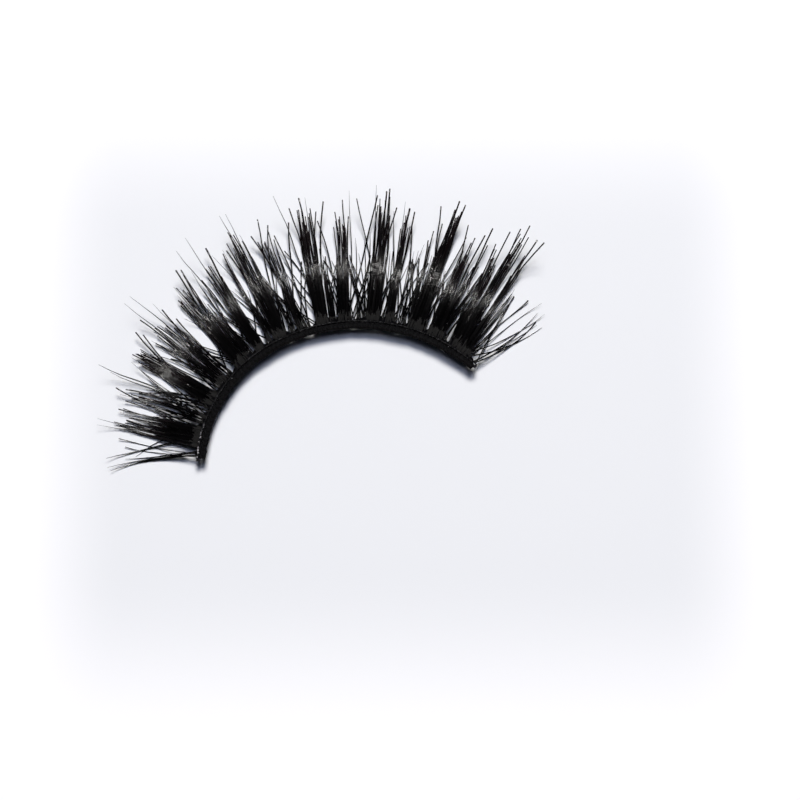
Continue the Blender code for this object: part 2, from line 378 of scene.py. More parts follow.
cottonLook = {
    "ridge": (0.0052, 0.0050, 0.0056),
    "valleyShade": (0.0002, 0.0002, 0.0003),
    "twist": {"Turns": 3.0, "Slant": 5.0, "Fuzz": 0.5},
    "patches": {"Scale": 1500.0, "Low": 0.40, "High": 0.62},
    "gloss": 0.05,
    "rough": (0.85, 0.60),
    "relief": 0.012 * mm,
}


def bandCottonFinish():
    made, nodes, links, shader = newFinish("bandCotton", Specular_IOR_Level=cottonLook["gloss"])
    twist = addGroup(nodes, twistGroup, cottonLook["twist"])
    patches = addGroup(nodes, blotchGroup, cottonLook["patches"])
    # painted shade: the valleys of the twist get a darker colour than the ridges
    colour = mixColours(nodes, links, twist.outputs["Valley"],
                        cottonLook["ridge"], cottonLook["valleyShade"])
    rough = mapValue(nodes, links, patches.outputs["Mask"], *cottonLook["rough"])
    links.new(colour, shader.inputs["Base Color"])
    links.new(rough, shader.inputs["Roughness"])
    bumpFrom(nodes, links, shader, twist.outputs["Height"], cottonLook["relief"])
    return made


# the dried glue over the lash roots

glueLook = {
    "dark": (0.0006, 0.0006, 0.0008),
    "pale": (0.0026, 0.0025, 0.0032),
    "patches": {"Scale": 1100.0, "Low": 0.35, "High": 0.65},
    "gloss": 0.02,
    "rough": (0.62, 0.80),
    "relief": 0.01 * mm,
}


def gluedRootFinish():
    made, nodes, links, shader = newFinish("gluedRoots", Specular_IOR_Level=glueLook["gloss"])
    patches = addGroup(nodes, blotchGroup, glueLook["patches"])
    colour = mixColours(nodes, links, patches.outputs["Mask"], glueLook["dark"], glueLook["pale"])
    rough = mapValue(nodes, links, patches.outputs["Grain"], *glueLook["rough"])
    links.new(colour, shader.inputs["Base Color"])
    links.new(rough, shader.inputs["Roughness"])
    bumpFrom(nodes, links, shader, patches.outputs["Grain"], glueLook["relief"])
    return made


# the thread and the knots: mostly dark, with painted glints as pale flecks gathered near the
# band's inner end

threadLook = {
    "dark": (0.004, 0.0039, 0.0046),
    "paintedGlint": (0.62, 0.60, 0.62),
    "rough": (0.28, 0.45),
    "twist": {"Turns": 2.0, "Slant": 7.0, "Fuzz": 0.35},
    "patches": {"Scale": 5200.0, "Low": 0.54, "High": 0.62},
    "gloss": 0.15,
    "manyTo": 2.5,            # flecks thin out over this stretch, in millimetres along the thread
    "fewFrom": 4.5,
    "few": 0.05,
    "relief": 0.008 * mm,
}
# the knots share the thread's look, with darker yarn and dimmer painted glints
knotLook = dict(
    threadLook, dark=(0.006, 0.0058, 0.009), paintedGlint=(0.035, 0.034, 0.045), rough=(0.35, 0.50))


def threadFinish(name, look):
    made, nodes, links, shader = newFinish(name, Specular_IOR_Level=look["gloss"])
    twist = addGroup(nodes, twistGroup, look["twist"])
    patches = addGroup(nodes, blotchGroup, look["patches"])
    along = readTube(nodes, links)[1]
    # painted glints: pale flecks in the thread's colour, many near the band's inner end and few
    # past it
    near = mapValue(nodes, links, along, 1.0, look["few"], look["manyTo"], look["fewFrom"])
    paintedGlints = calculate(nodes, links, "MULTIPLY", patches.outputs["Mask"], near)
    colour = mixColours(nodes, links, paintedGlints, look["dark"], look["paintedGlint"])
    rough = mapValue(nodes, links, twist.outputs["Valley"], *look["rough"])
    links.new(colour, shader.inputs["Base Color"])
    links.new(rough, shader.inputs["Roughness"])
    bumpFrom(nodes, links, shader, twist.outputs["Height"], look["relief"])
    return made


lashFibre = lashFibreFinish()
bandCotton = bandCottonFinish()
gluedRoots = gluedRootFinish()
threadShine = threadFinish("threadShine", threadLook)
knotShine = threadFinish("knotShine", knotLook)


def dress(piece, finish, slot, *nodes):
    piece.data.materials.clear()
    piece.data.materials.append(finish)
    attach(piece, "root")
    if nodes:
        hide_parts(*nodes)


# the camera looks straight down, with the strip up and to the left as in the photograph

view = {
    "metresPerPixel": 0.095 * mm,
    "imageSide": 800,
    "stripCentre": (323.3, 331.9),   # where the strip's outline is centred in the picture
    "lens": 150,
    "sensor": 36,
    "nearest": 0.01,
    "farthest": 10,
}


def placeCamera():
    data = bpy.data.cameras.new("camera")
    data.lens = view["lens"]
    data.sensor_width = view["sensor"]
    data.clip_start = view["nearest"]
    data.clip_end = view["farthest"]
    camera = bpy.data.objects.new("camera", data)
    bpy.context.scene.collection.objects.link(camera)
    middle = view["imageSide"] / 2
    scale = view["metresPerPixel"]
    camera.location = (
        (middle - view["stripCentre"][0]) * scale,
        (view["stripCentre"][1] - middle) * scale,
        view["imageSide"] * scale * view["lens"] / view["sensor"],
    )
    bpy.context.scene.camera = camera


placeCamera()
print("camera placed")


# lashes

lashes = {
    "rootOut": 0.68 * mm,
    "rootSpread": 0.10 * mm,
    "waistOut": 5.3 * mm,
    "leastPastWaist": 1.0 * mm,
    "thickness": (0.108, 0.138),   # diameter at the root, in millimetres
    "taperPower": 3.0,
    "cutTip": 0.90,            # the tip's thickness, as a share of the root's
    "fineTip": 0.20,
    "sway": 0.035 * mm,
    "swayLength": (5, 9),      # one wave of it, in millimetres
    "swayGrowsOver": 3 * mm,
    "clearance": 0.004 * mm,   # least gap between a lash and the surface
    "stations": 10,
    "corners": 5,
}

# the locks and looser bundles, in millimetres: where each runs along the band at its root,
# its waist and its tips, how far out its long lashes reach, and how many of them and of the
# shorter ones in its core it has
lockColumns = ("rootFrom", "rootTo", "waistFrom", "waistTo", "tipFrom", "tipTo",
               "shortest", "longest", "long", "short")
locks = (
    (0.98, 2.85, 1.10, 2.50, 1.25, 2.50, 7.3, 9.3, 12, 40),
    (2.95, 4.05, 3.05, 3.90, 2.92, 3.55, 7.2, 9.3, 7, 3),
    (4.85, 6.20, 5.05, 5.98, 5.15, 5.95, 7.9, 9.9, 19, 34),
    (6.65, 7.60, 6.90, 7.70, 7.00, 7.60, 7.0, 9.6, 5, 2),
    (7.50, 8.30, 7.50, 8.28, 7.62, 8.32, 7.0, 9.6, 6, 4),
    (9.00, 10.15, 9.15, 10.05, 9.28, 10.10, 8.2, 11.0, 12, 36),
    (10.15, 10.90, 10.15, 10.80, 10.25, 10.90, 6.2, 9.0, 7, 4),
    (11.25, 12.05, 11.40, 12.00, 11.45, 12.00, 8.2, 10.2, 9, 28),
    (12.65, 12.95, 12.72, 12.95, 12.82, 13.02, 7.6, 10.8, 5, 3),
    (13.30, 14.40, 13.35, 14.42, 13.42, 14.30, 9.0, 11.8, 12, 38),
    (15.45, 15.95, 15.32, 15.92, 15.10, 15.98, 8.0, 10.3, 9, 3),
    (17.20, 18.30, 17.30, 18.28, 17.50, 18.35, 9.4, 12.0, 12, 40),
    (18.35, 19.10, 18.38, 18.80, 18.45, 18.90, 5.8, 8.6, 4, 6),
    (19.20, 20.25, 19.45, 20.20, 19.45, 20.20, 8.2, 11.4, 11, 14),
    (21.65, 22.85, 21.85, 22.88, 22.02, 22.78, 9.8, 12.8, 12, 38),
    (23.10, 24.15, 23.45, 24.05, 23.48, 24.10, 8.2, 11.4, 9, 7),
    (25.45, 26.85, 25.88, 26.82, 26.30, 26.72, 10.2, 13.0, 13, 40),
    (25.40, 26.20, 25.45, 26.10, 25.20, 26.10, 7.4, 10.2, 7, 2),
    (27.30, 28.35, 27.40, 28.15, 27.55, 28.10, 7.6, 10.0, 10, 13),
    (28.15, 28.75, 28.15, 28.80, 28.20, 29.00, 6.8, 9.2, 6, 1),
    (29.50, 30.20, 29.48, 30.02, 29.25, 29.88, 8.2, 11.2, 10, 7),
    (29.75, 30.80, 30.02, 30.78, 30.15, 30.72, 9.0, 13.2, 10, 24),
    (30.75, 31.35, 31.00, 31.38, 30.95, 31.42, 8.6, 12.6, 9, 16),
    (31.20, 31.55, 31.45, 31.75, 31.50, 31.80, 6.8, 8.7, 3, 1),
)

# lashes that stand apart, in millimetres: where each is along the band at its root, its
# waist and its tip, how far out it reaches, whether it is finely pointed, and its weight
strayColumns = ("root", "waist", "tip", "reach", "fine", "weight")
strays = (
    (0.25, -0.64, -1.82, 8.9, 1, 1.6), (0.45, -0.50, -1.55, 9.2, 1, 1.4),
    (0.60, -0.33, -0.60, 7.6, 1, 1.4), (1.55, 0.44, -0.70, 9.4, 1, 1.6),
    (1.42, 0.54, -0.30, 6.6, 1, 1.1), (0.12, 0.14, 0.33, 7.7, 0, 0.8),
    (0.42, 0.50, 0.73, 8.4, 0, 0.9), (0.96, 0.95, 0.96, 4.6, 0, 0.8),
    (0.38, -0.45, -0.90, 6.0, 1, 0.8), (0.95, 0.30, 0.10, 5.4, 1, 0.7),
    (1.30, 1.22, 1.33, 10.6, 1, 0.9), (1.60, 1.55, 1.60, 10.9, 1, 0.9),
    (2.75, 2.98, 3.47, 10.0, 0, 1.0), (3.30, 3.10, 2.95, 9.5, 1, 0.8),
    (5.00, 4.22, 4.13, 11.0, 1, 1.0), (4.60, 4.32, 4.20, 12.3, 1, 1.1),
    (3.60, 4.35, 4.95, 8.9, 1, 1.0), (3.80, 4.50, 5.02, 9.6, 1, 0.9),
    (5.00, 5.62, 6.58, 10.6, 0, 1.1), (5.30, 5.85, 6.62, 9.9, 0, 1.1),
    (7.60, 6.90, 6.62, 8.9, 1, 1.0), (7.00, 7.12, 7.22, 11.0, 0, 1.1),
    (7.30, 7.33, 7.43, 13.1, 1, 0.9), (7.70, 7.80, 7.88, 13.2, 1, 0.9),
    (7.60, 7.95, 8.42, 10.1, 0, 1.1), (8.40, 8.31, 8.57, 8.4, 0, 1.2),
    (8.00, 8.10, 8.30, 11.0, 1, 0.8), (9.80, 9.90, 10.36, 11.8, 0, 1.3),
    (10.00, 10.12, 10.62, 11.4, 0, 1.1), (9.90, 10.05, 10.50, 11.0, 0, 1.1),
    (10.60, 10.72, 10.95, 10.9, 1, 0.9), (10.40, 10.80, 11.08, 8.8, 1, 1.1),
    (9.60, 9.32, 8.85, 7.9, 1, 0.9), (11.60, 11.22, 11.03, 13.1, 1, 1.0),
    (11.30, 11.20, 11.12, 9.6, 0, 1.0), (11.70, 11.68, 11.72, 13.7, 1, 1.0),
    (11.90, 12.02, 12.28, 11.7, 0, 1.4), (12.00, 12.08, 12.22, 8.8, 0, 1.1),
    (13.40, 12.95, 12.42, 11.0, 1, 0.8), (13.50, 13.42, 13.23, 10.7, 0, 1.1),
    (13.70, 13.72, 13.72, 11.8, 0, 1.5), (13.80, 13.90, 13.75, 13.9, 1, 1.0),
    (13.95, 14.05, 14.00, 13.7, 1, 1.0), (13.90, 14.62, 15.40, 12.2, 0, 1.0),
    (14.20, 14.85, 15.82, 11.4, 0, 1.0), (15.60, 15.68, 15.73, 10.8, 0, 1.0),
    (16.20, 15.50, 14.73, 10.9, 0, 1.1), (15.90, 15.40, 14.95, 10.1, 0, 1.0),
    (16.60, 16.35, 16.03, 10.2, 0, 1.0), (17.40, 17.15, 16.60, 13.8, 1, 1.0),
    (15.40, 16.20, 16.97, 11.0, 0, 1.0), (17.60, 17.50, 17.22, 12.2, 0, 1.0),
    (17.70, 17.75, 17.82, 12.9, 0, 1.1), (18.00, 18.00, 18.10, 13.0, 1, 1.0),
    (17.90, 18.00, 18.55, 11.4, 0, 1.0), (17.90, 18.30, 19.02, 12.4, 0, 1.2),
    (19.60, 19.15, 18.62, 10.7, 0, 1.0), (20.00, 20.05, 20.12, 12.3, 0, 1.1),
    (20.10, 20.20, 20.38, 10.9, 0, 1.1), (20.30, 20.45, 20.47, 13.1, 1, 0.9),
    (20.90, 20.85, 20.75, 8.7, 1, 1.0), (22.60, 21.90, 20.85, 12.5, 0, 1.0),
    (19.95, 21.00, 21.95, 13.0, 0, 1.2), (21.50, 21.45, 21.30, 8.6, 1, 1.0),
    (21.80, 21.70, 21.68, 9.4, 1, 0.9), (22.20, 22.30, 22.45, 13.3, 0, 1.2),
    (22.40, 22.50, 22.65, 13.4, 0, 1.2), (22.00, 22.00, 21.92, 13.8, 1, 0.9),
    (22.10, 22.40, 23.10, 11.9, 0, 1.1), (24.20, 23.50, 23.00, 11.5, 1, 1.0),
    (23.70, 23.70, 23.50, 12.6, 1, 0.8), (23.70, 23.75, 23.82, 12.0, 0, 1.4),
    (23.90, 24.00, 24.17, 11.8, 0, 1.1), (25.20, 24.62, 24.12, 10.5, 0, 1.0),
    (25.50, 24.80, 24.25, 8.2, 1, 1.0), (24.20, 24.72, 25.10, 8.9, 1, 1.0),
    (24.60, 24.55, 24.60, 8.0, 1, 0.9), (24.70, 24.85, 24.90, 8.2, 1, 0.9),
    (27.20, 26.40, 25.50, 12.8, 0, 1.1), (26.50, 26.20, 25.85, 11.2, 0, 1.0),
    (25.60, 25.55, 25.50, 10.3, 0, 1.0), (26.20, 26.35, 26.37, 13.9, 0, 1.2),
    (26.50, 26.60, 26.58, 12.2, 0, 1.5), (26.60, 26.70, 26.76, 13.6, 0, 1.1),
    (28.80, 28.10, 27.28, 12.1, 0, 1.0), (26.10, 26.95, 27.42, 10.7, 0, 1.0),
    (27.60, 27.75, 27.83, 10.5, 0, 1.1), (27.80, 27.95, 27.98, 11.1, 0, 1.0),
    (28.10, 28.25, 28.40, 11.8, 0, 1.1), (28.40, 28.60, 28.70, 12.6, 0, 1.1),
    (28.30, 28.60, 28.83, 11.0, 0, 1.0), (29.90, 29.85, 29.62, 13.0, 0, 1.2),
    (29.50, 29.40, 29.27, 11.4, 0, 1.0), (30.40, 30.35, 30.10, 13.9, 0, 1.0),
    (30.40, 30.50, 30.42, 14.3, 0, 1.1), (30.90, 31.05, 31.17, 13.5, 0, 1.2),
    (30.80, 31.05, 31.57, 13.9, 0, 1.1), (31.60, 32.40, 32.95, 8.4, 0, 1.4),
    (32.56, 32.10, 31.93, 7.9, 0, 1.4), (31.90, 33.00, 34.12, 8.9, 1, 1.1),
    (31.35, 34.02, 34.95, 8.3, 1, 1.2), (31.75, 34.90, 35.50, 7.1, 1, 1.3),
    (32.40, 34.07, 34.42, 8.0, 1, 1.2), (32.62, 34.57, 34.78, 7.2, 0, 1.3),
    (32.50, 34.40, 35.00, 7.0, 1, 0.9),
)

# the crossing layer, in millimetres: small families of nearly parallel lashes that lean
# across the gaps between the locks, with how far apart the lashes of a family stand
crossingColumns = ("root", "waist", "tip", "reach", "number", "spread")
crossings = (
    (3.95, 4.97, 5.15, 7.0, 1, 0), (5.35, 4.25, 3.80, 7.6, 2, 0.10),
    (4.75, 3.95, 3.55, 7.6, 2, 0.16), (3.55, 4.15, 4.55, 7.2, 2, 0.14),
    (4.30, 3.60, 3.30, 6.5, 1, 0), (3.20, 3.90, 4.20, 6.2, 1, 0),
    (3.35, 2.55, 2.20, 6.4, 2, 0.16), (2.45, 2.80, 2.98, 8.6, 1, 0),
    (2.20, 2.95, 3.30, 6.2, 2, 0.15), (4.50, 5.60, 5.90, 6.0, 1, 0),
    (6.60, 6.12, 6.00, 8.0, 1, 0), (6.78, 6.42, 6.02, 8.3, 1, 0),
    (6.95, 6.66, 6.62, 8.4, 2, 0.09), (7.40, 7.02, 6.70, 8.4, 2, 0.11),
    (6.20, 6.95, 7.25, 6.4, 1, 0), (7.30, 6.60, 6.30, 6.4, 1, 0),
    (6.50, 7.40, 7.70, 6.2, 1, 0), (7.10, 7.90, 8.20, 6.4, 1, 0),
    (8.30, 7.50, 7.20, 6.2, 1, 0), (10.10, 8.12, 7.85, 6.4, 1, 0),
    (9.75, 8.00, 7.80, 6.3, 1, 0), (7.95, 9.60, 9.80, 6.2, 1, 0),
    (9.20, 7.70, 7.40, 6.2, 1, 0), (9.60, 7.60, 7.30, 6.2, 1, 0),
    (11.72, 10.45, 10.30, 6.2, 1, 0), (12.20, 10.75, 10.55, 6.5, 1, 0),
    (10.45, 11.75, 12.00, 6.4, 1, 0), (11.60, 10.30, 10.10, 6.0, 1, 0),
    (10.90, 10.40, 10.20, 6.6, 2, 0.14), (9.90, 10.60, 10.90, 6.4, 2, 0.15),
    (12.06, 12.10, 12.14, 8.3, 2, 0.09), (13.55, 12.58, 12.12, 7.2, 1, 0),
    (13.25, 12.44, 12.10, 6.9, 1, 0), (11.50, 13.00, 13.20, 6.3, 1, 0),
    (13.75, 11.80, 11.60, 6.2, 1, 0), (12.95, 10.90, 10.70, 6.0, 1, 0),
    (12.55, 13.35, 13.60, 6.8, 2, 0.12), (13.40, 12.82, 12.60, 7.0, 2, 0.12),
    (15.20, 14.68, 14.30, 7.4, 1, 0), (16.05, 14.72, 14.35, 7.3, 1, 0),
    (14.95, 14.52, 14.30, 7.5, 2, 0.09), (14.35, 15.05, 15.45, 7.4, 1, 0),
    (14.60, 15.70, 16.00, 6.3, 1, 0), (15.60, 14.30, 14.10, 6.1, 1, 0),
    (15.10, 15.45, 15.60, 6.6, 2, 0.13), (16.40, 15.60, 15.40, 6.3, 2, 0.14),
    (17.95, 16.18, 15.90, 6.4, 1, 0), (17.20, 14.60, 14.40, 6.0, 2, 0.20),
    (18.30, 16.62, 16.05, 7.4, 1, 0), (18.40, 17.12, 16.30, 8.4, 1, 0),
    (15.72, 16.85, 17.15, 7.0, 1, 0), (16.50, 17.20, 17.60, 6.8, 1, 0),
    (20.10, 19.05, 18.65, 7.2, 2, 0.11), (19.50, 18.62, 18.30, 7.0, 2, 0.14),
    (19.05, 19.42, 19.55, 7.5, 1, 0), (18.60, 19.30, 19.60, 6.4, 2, 0.15),
    (20.50, 19.55, 19.20, 6.6, 2, 0.15), (19.10, 20.10, 20.40, 6.4, 2, 0.15),
    (21.95, 20.52, 20.22, 7.2, 1, 0), (21.50, 20.42, 20.20, 6.8, 1, 0),
    (21.20, 20.64, 20.46, 7.0, 1, 0), (22.30, 20.80, 20.42, 6.6, 1, 0),
    (20.35, 21.50, 21.75, 7.0, 1, 0), (20.90, 21.66, 21.90, 6.8, 2, 0.13),
    (21.75, 21.20, 21.00, 7.2, 1, 0), (21.70, 20.30, 20.10, 6.0, 1, 0),
    (20.55, 22.00, 22.20, 6.1, 1, 0), (22.85, 23.10, 23.06, 7.6, 1, 0),
    (23.50, 23.33, 23.25, 7.6, 1, 0), (22.60, 23.45, 23.70, 6.4, 2, 0.15),
    (23.70, 22.95, 22.80, 6.6, 1, 0), (24.35, 23.78, 23.60, 6.8, 2, 0.14),
    (23.30, 24.12, 24.40, 6.5, 1, 0), (23.00, 23.85, 24.10, 6.4, 1, 0),
    (23.90, 25.12, 25.50, 7.2, 1, 0), (25.85, 24.93, 24.58, 7.2, 1, 0),
    (24.20, 26.20, 26.40, 6.0, 1, 0), (25.40, 23.95, 23.75, 6.1, 1, 0),
    (24.86, 24.82, 24.80, 6.8, 1, 0), (25.60, 25.28, 25.10, 7.4, 2, 0.12),
    (24.25, 24.45, 24.50, 7.0, 1, 0), (26.10, 25.38, 25.05, 7.0, 2, 0.15),
    (24.90, 25.50, 25.75, 7.2, 2, 0.15), (27.90, 27.18, 26.88, 7.2, 1, 0),
    (26.40, 27.10, 27.50, 7.3, 1, 0), (26.75, 27.45, 27.70, 6.4, 2, 0.14),
    (27.60, 26.95, 26.75, 6.6, 1, 0), (27.02, 27.05, 27.00, 7.0, 1, 0),
    (28.20, 27.50, 27.30, 6.4, 1, 0), (28.35, 29.05, 29.40, 8.2, 2, 0.12),
    (28.60, 29.26, 29.50, 7.5, 2, 0.11), (29.05, 29.68, 29.90, 6.8, 2, 0.12),
    (29.30, 27.30, 27.10, 6.0, 1, 0), (29.60, 29.10, 28.62, 8.2, 1, 0),
    (28.30, 28.45, 28.46, 7.2, 1, 0), (28.75, 28.70, 28.60, 7.2, 1, 0),
    (30.10, 30.60, 30.80, 6.4, 2, 0.16), (31.30, 30.70, 30.50, 6.4, 1, 0),
    (31.36, 31.86, 31.98, 7.3, 2, 0.09), (31.50, 32.13, 31.97, 7.2, 1, 0),
    (31.60, 32.30, 32.35, 5.6, 1, 0),
)


def throughThree(out, outs, values):
    # a smooth line through the places at the root, the waist and the tip
    a, b, c = outs
    p, q, r = values
    first = (out - b) * (out - c) / ((a - b) * (a - c))
    second = (out - a) * (out - c) / ((b - a) * (b - c))
    third = (out - a) * (out - b) / ((c - a) * (c - b))
    return first * p + second * q + third * r


def lashSet(root, waist, tip, full, reach, ups, fine, weight):
    # all places are columns of one value a lash, and reach may stop short of full
    count = len(root)
    share = np.linspace(0, 1, lashes["stations"])[None, :]
    start = lashes["rootOut"] + rng.uniform(0, lashes["rootSpread"], count)
    start = drawnOut(root, start)[:, None]
    out = start + (reach[:, None] - start) * share
    last = np.maximum(full, lashes["waistOut"] + lashes["leastPastWaist"])[:, None]
    outs = (lashes["rootOut"], lashes["waistOut"], last)
    along = throughThree(out, outs, (root[:, None], waist[:, None], tip[:, None]))
    phase = rng.uniform(0, 2 * np.pi, count)[:, None]
    wavelength = rng.uniform(*lashes["swayLength"], count)[:, None] * mm
    ramp = np.clip((out - lashes["rootOut"]) / lashes["swayGrowsOver"], 0, 1)
    along += lashes["sway"] * ramp * np.sin(2 * np.pi * out / wavelength + phase)
    up = throughThree(share, (0, 0.5, 1), [column[:, None] for column in ups])
    width = (weight * rng.uniform(*lashes["thickness"], count))[:, None] * mm / 2
    tipShare = np.where(fine, lashes["fineTip"], lashes["cutTip"])[:, None]
    radii = width * (1 - (1 - tipShare) * share ** lashes["taperPower"])
    lowest = radii - layerHeight(out) / np.cos(layerSlope(out)) + lashes["clearance"]
    up = np.maximum(up, lowest)
    return {
        "paths": stripPoints(along, out, up),
        "radii": radii,
        "corners": lashes["corners"],
        "tone": rng.uniform(0, 1, count),
    }


def evenly(count, loose):
    # one place for each of many lashes between 0 and 1, in a loose row
    return (np.arange(count) + 0.5 + loose * rng.uniform(-0.5, 0.5, count)) / count


lockLie = {
    "loose": 0.6,              # how uneven the row of long lashes is, and that of short ones
    "shortLoose": 1.0,
    "drift": 0.5,              # how far lashes stray from their row, in gaps of the long ones
    "shortDrift": 0.14,        # the same, as a share of the lock
    "waistDrift": 0.6,
    "tipDrift": 1.0,
    "coreFrom": 4.4,           # where the shortest of the core ends, in millimetres
    "coreShortBy": 4.2,
    "level": (0.12, 0.46),     # in millimetres above the layer
    "lean": (-0.04, 0.13),     # each lock lies a little differently, which moves its glint
    "waistUneven": 0.05,
    "tipUneven": 0.15,
    "fineShare": 0.3,
}


def lockSet(row):
    lock = dict(zip(lockColumns, row))
    count = lock["long"] + lock["short"]
    isShort = np.arange(count) >= lock["long"]
    place = np.concatenate([evenly(lock["long"], lockLie["loose"]),
                            evenly(lock["short"], lockLie["shortLoose"])])
    drift = np.where(isShort, lockLie["shortDrift"], lockLie["drift"] / lock["long"])
    waistPlace = np.clip(place + rng.normal(0, lockLie["waistDrift"], count) * drift, 0, 1)
    tipPlace = np.clip(place + rng.normal(0, lockLie["tipDrift"], count) * drift, 0, 1)

    def between(low, high, share):
        return (lock[low] + (lock[high] - lock[low]) * share) * mm

    reach = rng.uniform(lock["shortest"], lock["longest"], count)
    coreSpan = lock["shortest"] - lockLie["coreShortBy"]
    coreReach = lockLie["coreFrom"] + coreSpan * rng.uniform(0, 1, count)
    reach = np.where(isShort, coreReach, reach) * mm
    level = rng.uniform(*lockLie["level"], count)
    lean = rng.normal(*lockLie["lean"])
    ups = (level * mm, (level + rng.normal(0, lockLie["waistUneven"], count)) * mm,
           (level + lean + rng.normal(0, lockLie["tipUneven"], count)) * mm)
    fine = isShort | (rng.uniform(0, 1, count) < lockLie["fineShare"])
    return lashSet(
        between("rootFrom", "rootTo", place),
        between("waistFrom", "waistTo", waistPlace),
        between("tipFrom", "tipTo", tipPlace),
        np.full(count, lock["longest"] * mm), reach, ups, fine, np.full(count, 1.0),
    )


strayLie = {
    # the loose ones at both ends of the band lie low, the others curl up to their tips
    "lowBefore": 1.6 * mm,
    "lowPast": 31.3 * mm,
    "ups": ((0.15, 0.35), (0.10, 0.40), (0.20, 0.80)),   # root, middle and tip, in millimetres
    "lowUps": (0.8, 0.3, 0.25),                          # shares of those
    "lowWeight": 0.82,
    "weight": 1.12,
}


def straySet():
    columns = dict(zip(strayColumns, np.array(strays).T))
    root, waist, tip, reach = (columns[name] * mm for name in ("root", "waist", "tip", "reach"))
    count = len(root)
    low = (root < strayLie["lowBefore"]) | (root > strayLie["lowPast"])
    ups = [rng.uniform(*span, count) * mm for span in strayLie["ups"]]
    ups = [np.where(low, share * up, up) for share, up in zip(strayLie["lowUps"], ups)]
    weight = columns["weight"] * np.where(low, strayLie["lowWeight"], strayLie["weight"])
    return lashSet(root, waist, tip, reach, reach, ups, columns["fine"] > 0, weight)


crossingLie = {
    "rootSpread": 1.3,         # a family stands this much wider at its roots
    "tipUneven": 0.04,         # in millimetres, as are the next two
    "shorterBy": 0.5,
    "ups": ((0.10, 0.30), (0.05, 0.30), (0.05, 0.40)),
    "fineShare": 0.6,
    "weight": (0.95, 1.25),
}


def crossingSet():
    rows = []
    for row in crossings:
        family = dict(zip(crossingColumns, row))
        for k in range(family["number"]):
            aside = family["spread"] * (k - 0.5 * (family["number"] - 1))
            rows.append([family["root"] + crossingLie["rootSpread"] * aside,
                         family["waist"] + aside,
                         family["tip"] + aside + crossingLie["tipUneven"] * rng.normal(),
                         family["reach"] - crossingLie["shorterBy"] * k])
    root, waist, tip, reach = np.array(rows).T * mm
    count = len(root)
    ups = [rng.uniform(*span, count) * mm for span in crossingLie["ups"]]
    fine = rng.uniform(0, 1, count) < crossingLie["fineShare"]
    weight = rng.uniform(*crossingLie["weight"], count)
    return lashSet(root, waist, tip, reach, reach, ups, fine, weight)


lashLocks = tubeMesh("lashLocks", [lockSet(row) for row in locks] + [straySet()])
dress(lashLocks, lashFibre, "lash_fibre", "lash_fringe")
crossLashes = tubeMesh("crossLashes", [crossingSet()])
dress(crossLashes, lashFibre, "lash_fibre", "cross_fringe")
print("lashes made:", len(lashLocks.data.polygons) + len(crossLashes.data.polygons), "faces")


# the film of glue that holds the lash roots: wide at each lock and narrow between them

rootFilm = {
    "alongTo": 32.40 * mm,
    "innerOut": 0.60 * mm,
    "narrow": 0.93 * mm,
    "wide": 1.60 * mm,
    "fullDensity": 38,       # lashes in a millimetre of band that bring it to its widest
    "top": 0.42 * mm,
    "edgeTop": 0.30 * mm,
    "thickness": 0.30 * mm,
    "smoothOver": 15,        # stations
    "raggedOver": 7,
    "raggedness": 0.05 * mm,
    "stations": 600,
    "rows": 7,
}


def filmEdge(along):
    density = np.zeros_like(along)
    for row in locks:
        lock = dict(zip(lockColumns, row))
        inside = (along > lock["rootFrom"] * mm) & (along < lock["rootTo"] * mm)
        density += inside * (lock["long"] + lock["short"]) / (lock["rootTo"] - lock["rootFrom"])
    kernel = np.hanning(rootFilm["smoothOver"])
    smooth = np.convolve(density, kernel / kernel.sum(), mode="same")
    kernel = np.hanning(rootFilm["raggedOver"])
    ragged = np.convolve(rng.normal(0, 1, len(along)), kernel, mode="same")
    ragged *= rootFilm["raggedness"]
    share = np.clip(smooth / rootFilm["fullDensity"], 0, 1)
    return rootFilm["narrow"] + (rootFilm["wide"] - rootFilm["narrow"]) * share + ragged


def makeRootFilm():
    bpy.ops.object.select_all(action="DESELECT")
    bpy.ops.mesh.primitive_grid_add(
        x_subdivisions=rootFilm["stations"], y_subdivisions=rootFilm["rows"], size=1)
    piece = bpy.context.object
    piece.name = piece.data.name = "rootFilm"
    flat = np.zeros(len(piece.data.vertices) * 3)
    piece.data.vertices.foreach_get("co", flat)
    shares = flat.reshape(-1, 3) + 0.5
    along = shares[:, 0] * rootFilm["alongTo"]
    places = np.linspace(0, rootFilm["alongTo"], rootFilm["stations"] + 1)
    edge = np.interp(along, places, filmEdge(places))
    out = rootFilm["innerOut"] + (edge - rootFilm["innerOut"]) * shares[:, 1]
    out = drawnOut(along, out)
    up = rootFilm["top"] + (rootFilm["edgeTop"] - rootFilm["top"]) * shares[:, 1] ** 2
    piece.data.vertices.foreach_set("co", stripPoints(along, out, up).ravel())
    wall = piece.modifiers.new("wall", "SOLIDIFY")
    wall.thickness = rootFilm["thickness"]
    wall.offset = -1
    bpy.ops.object.modifier_apply(modifier="wall")
    piece.data.shade_smooth()
    return piece


dress(makeRootFilm(), gluedRoots, "band_cotton")
print("root film made")


# the band is a flat plait of three cotton yarns over a core

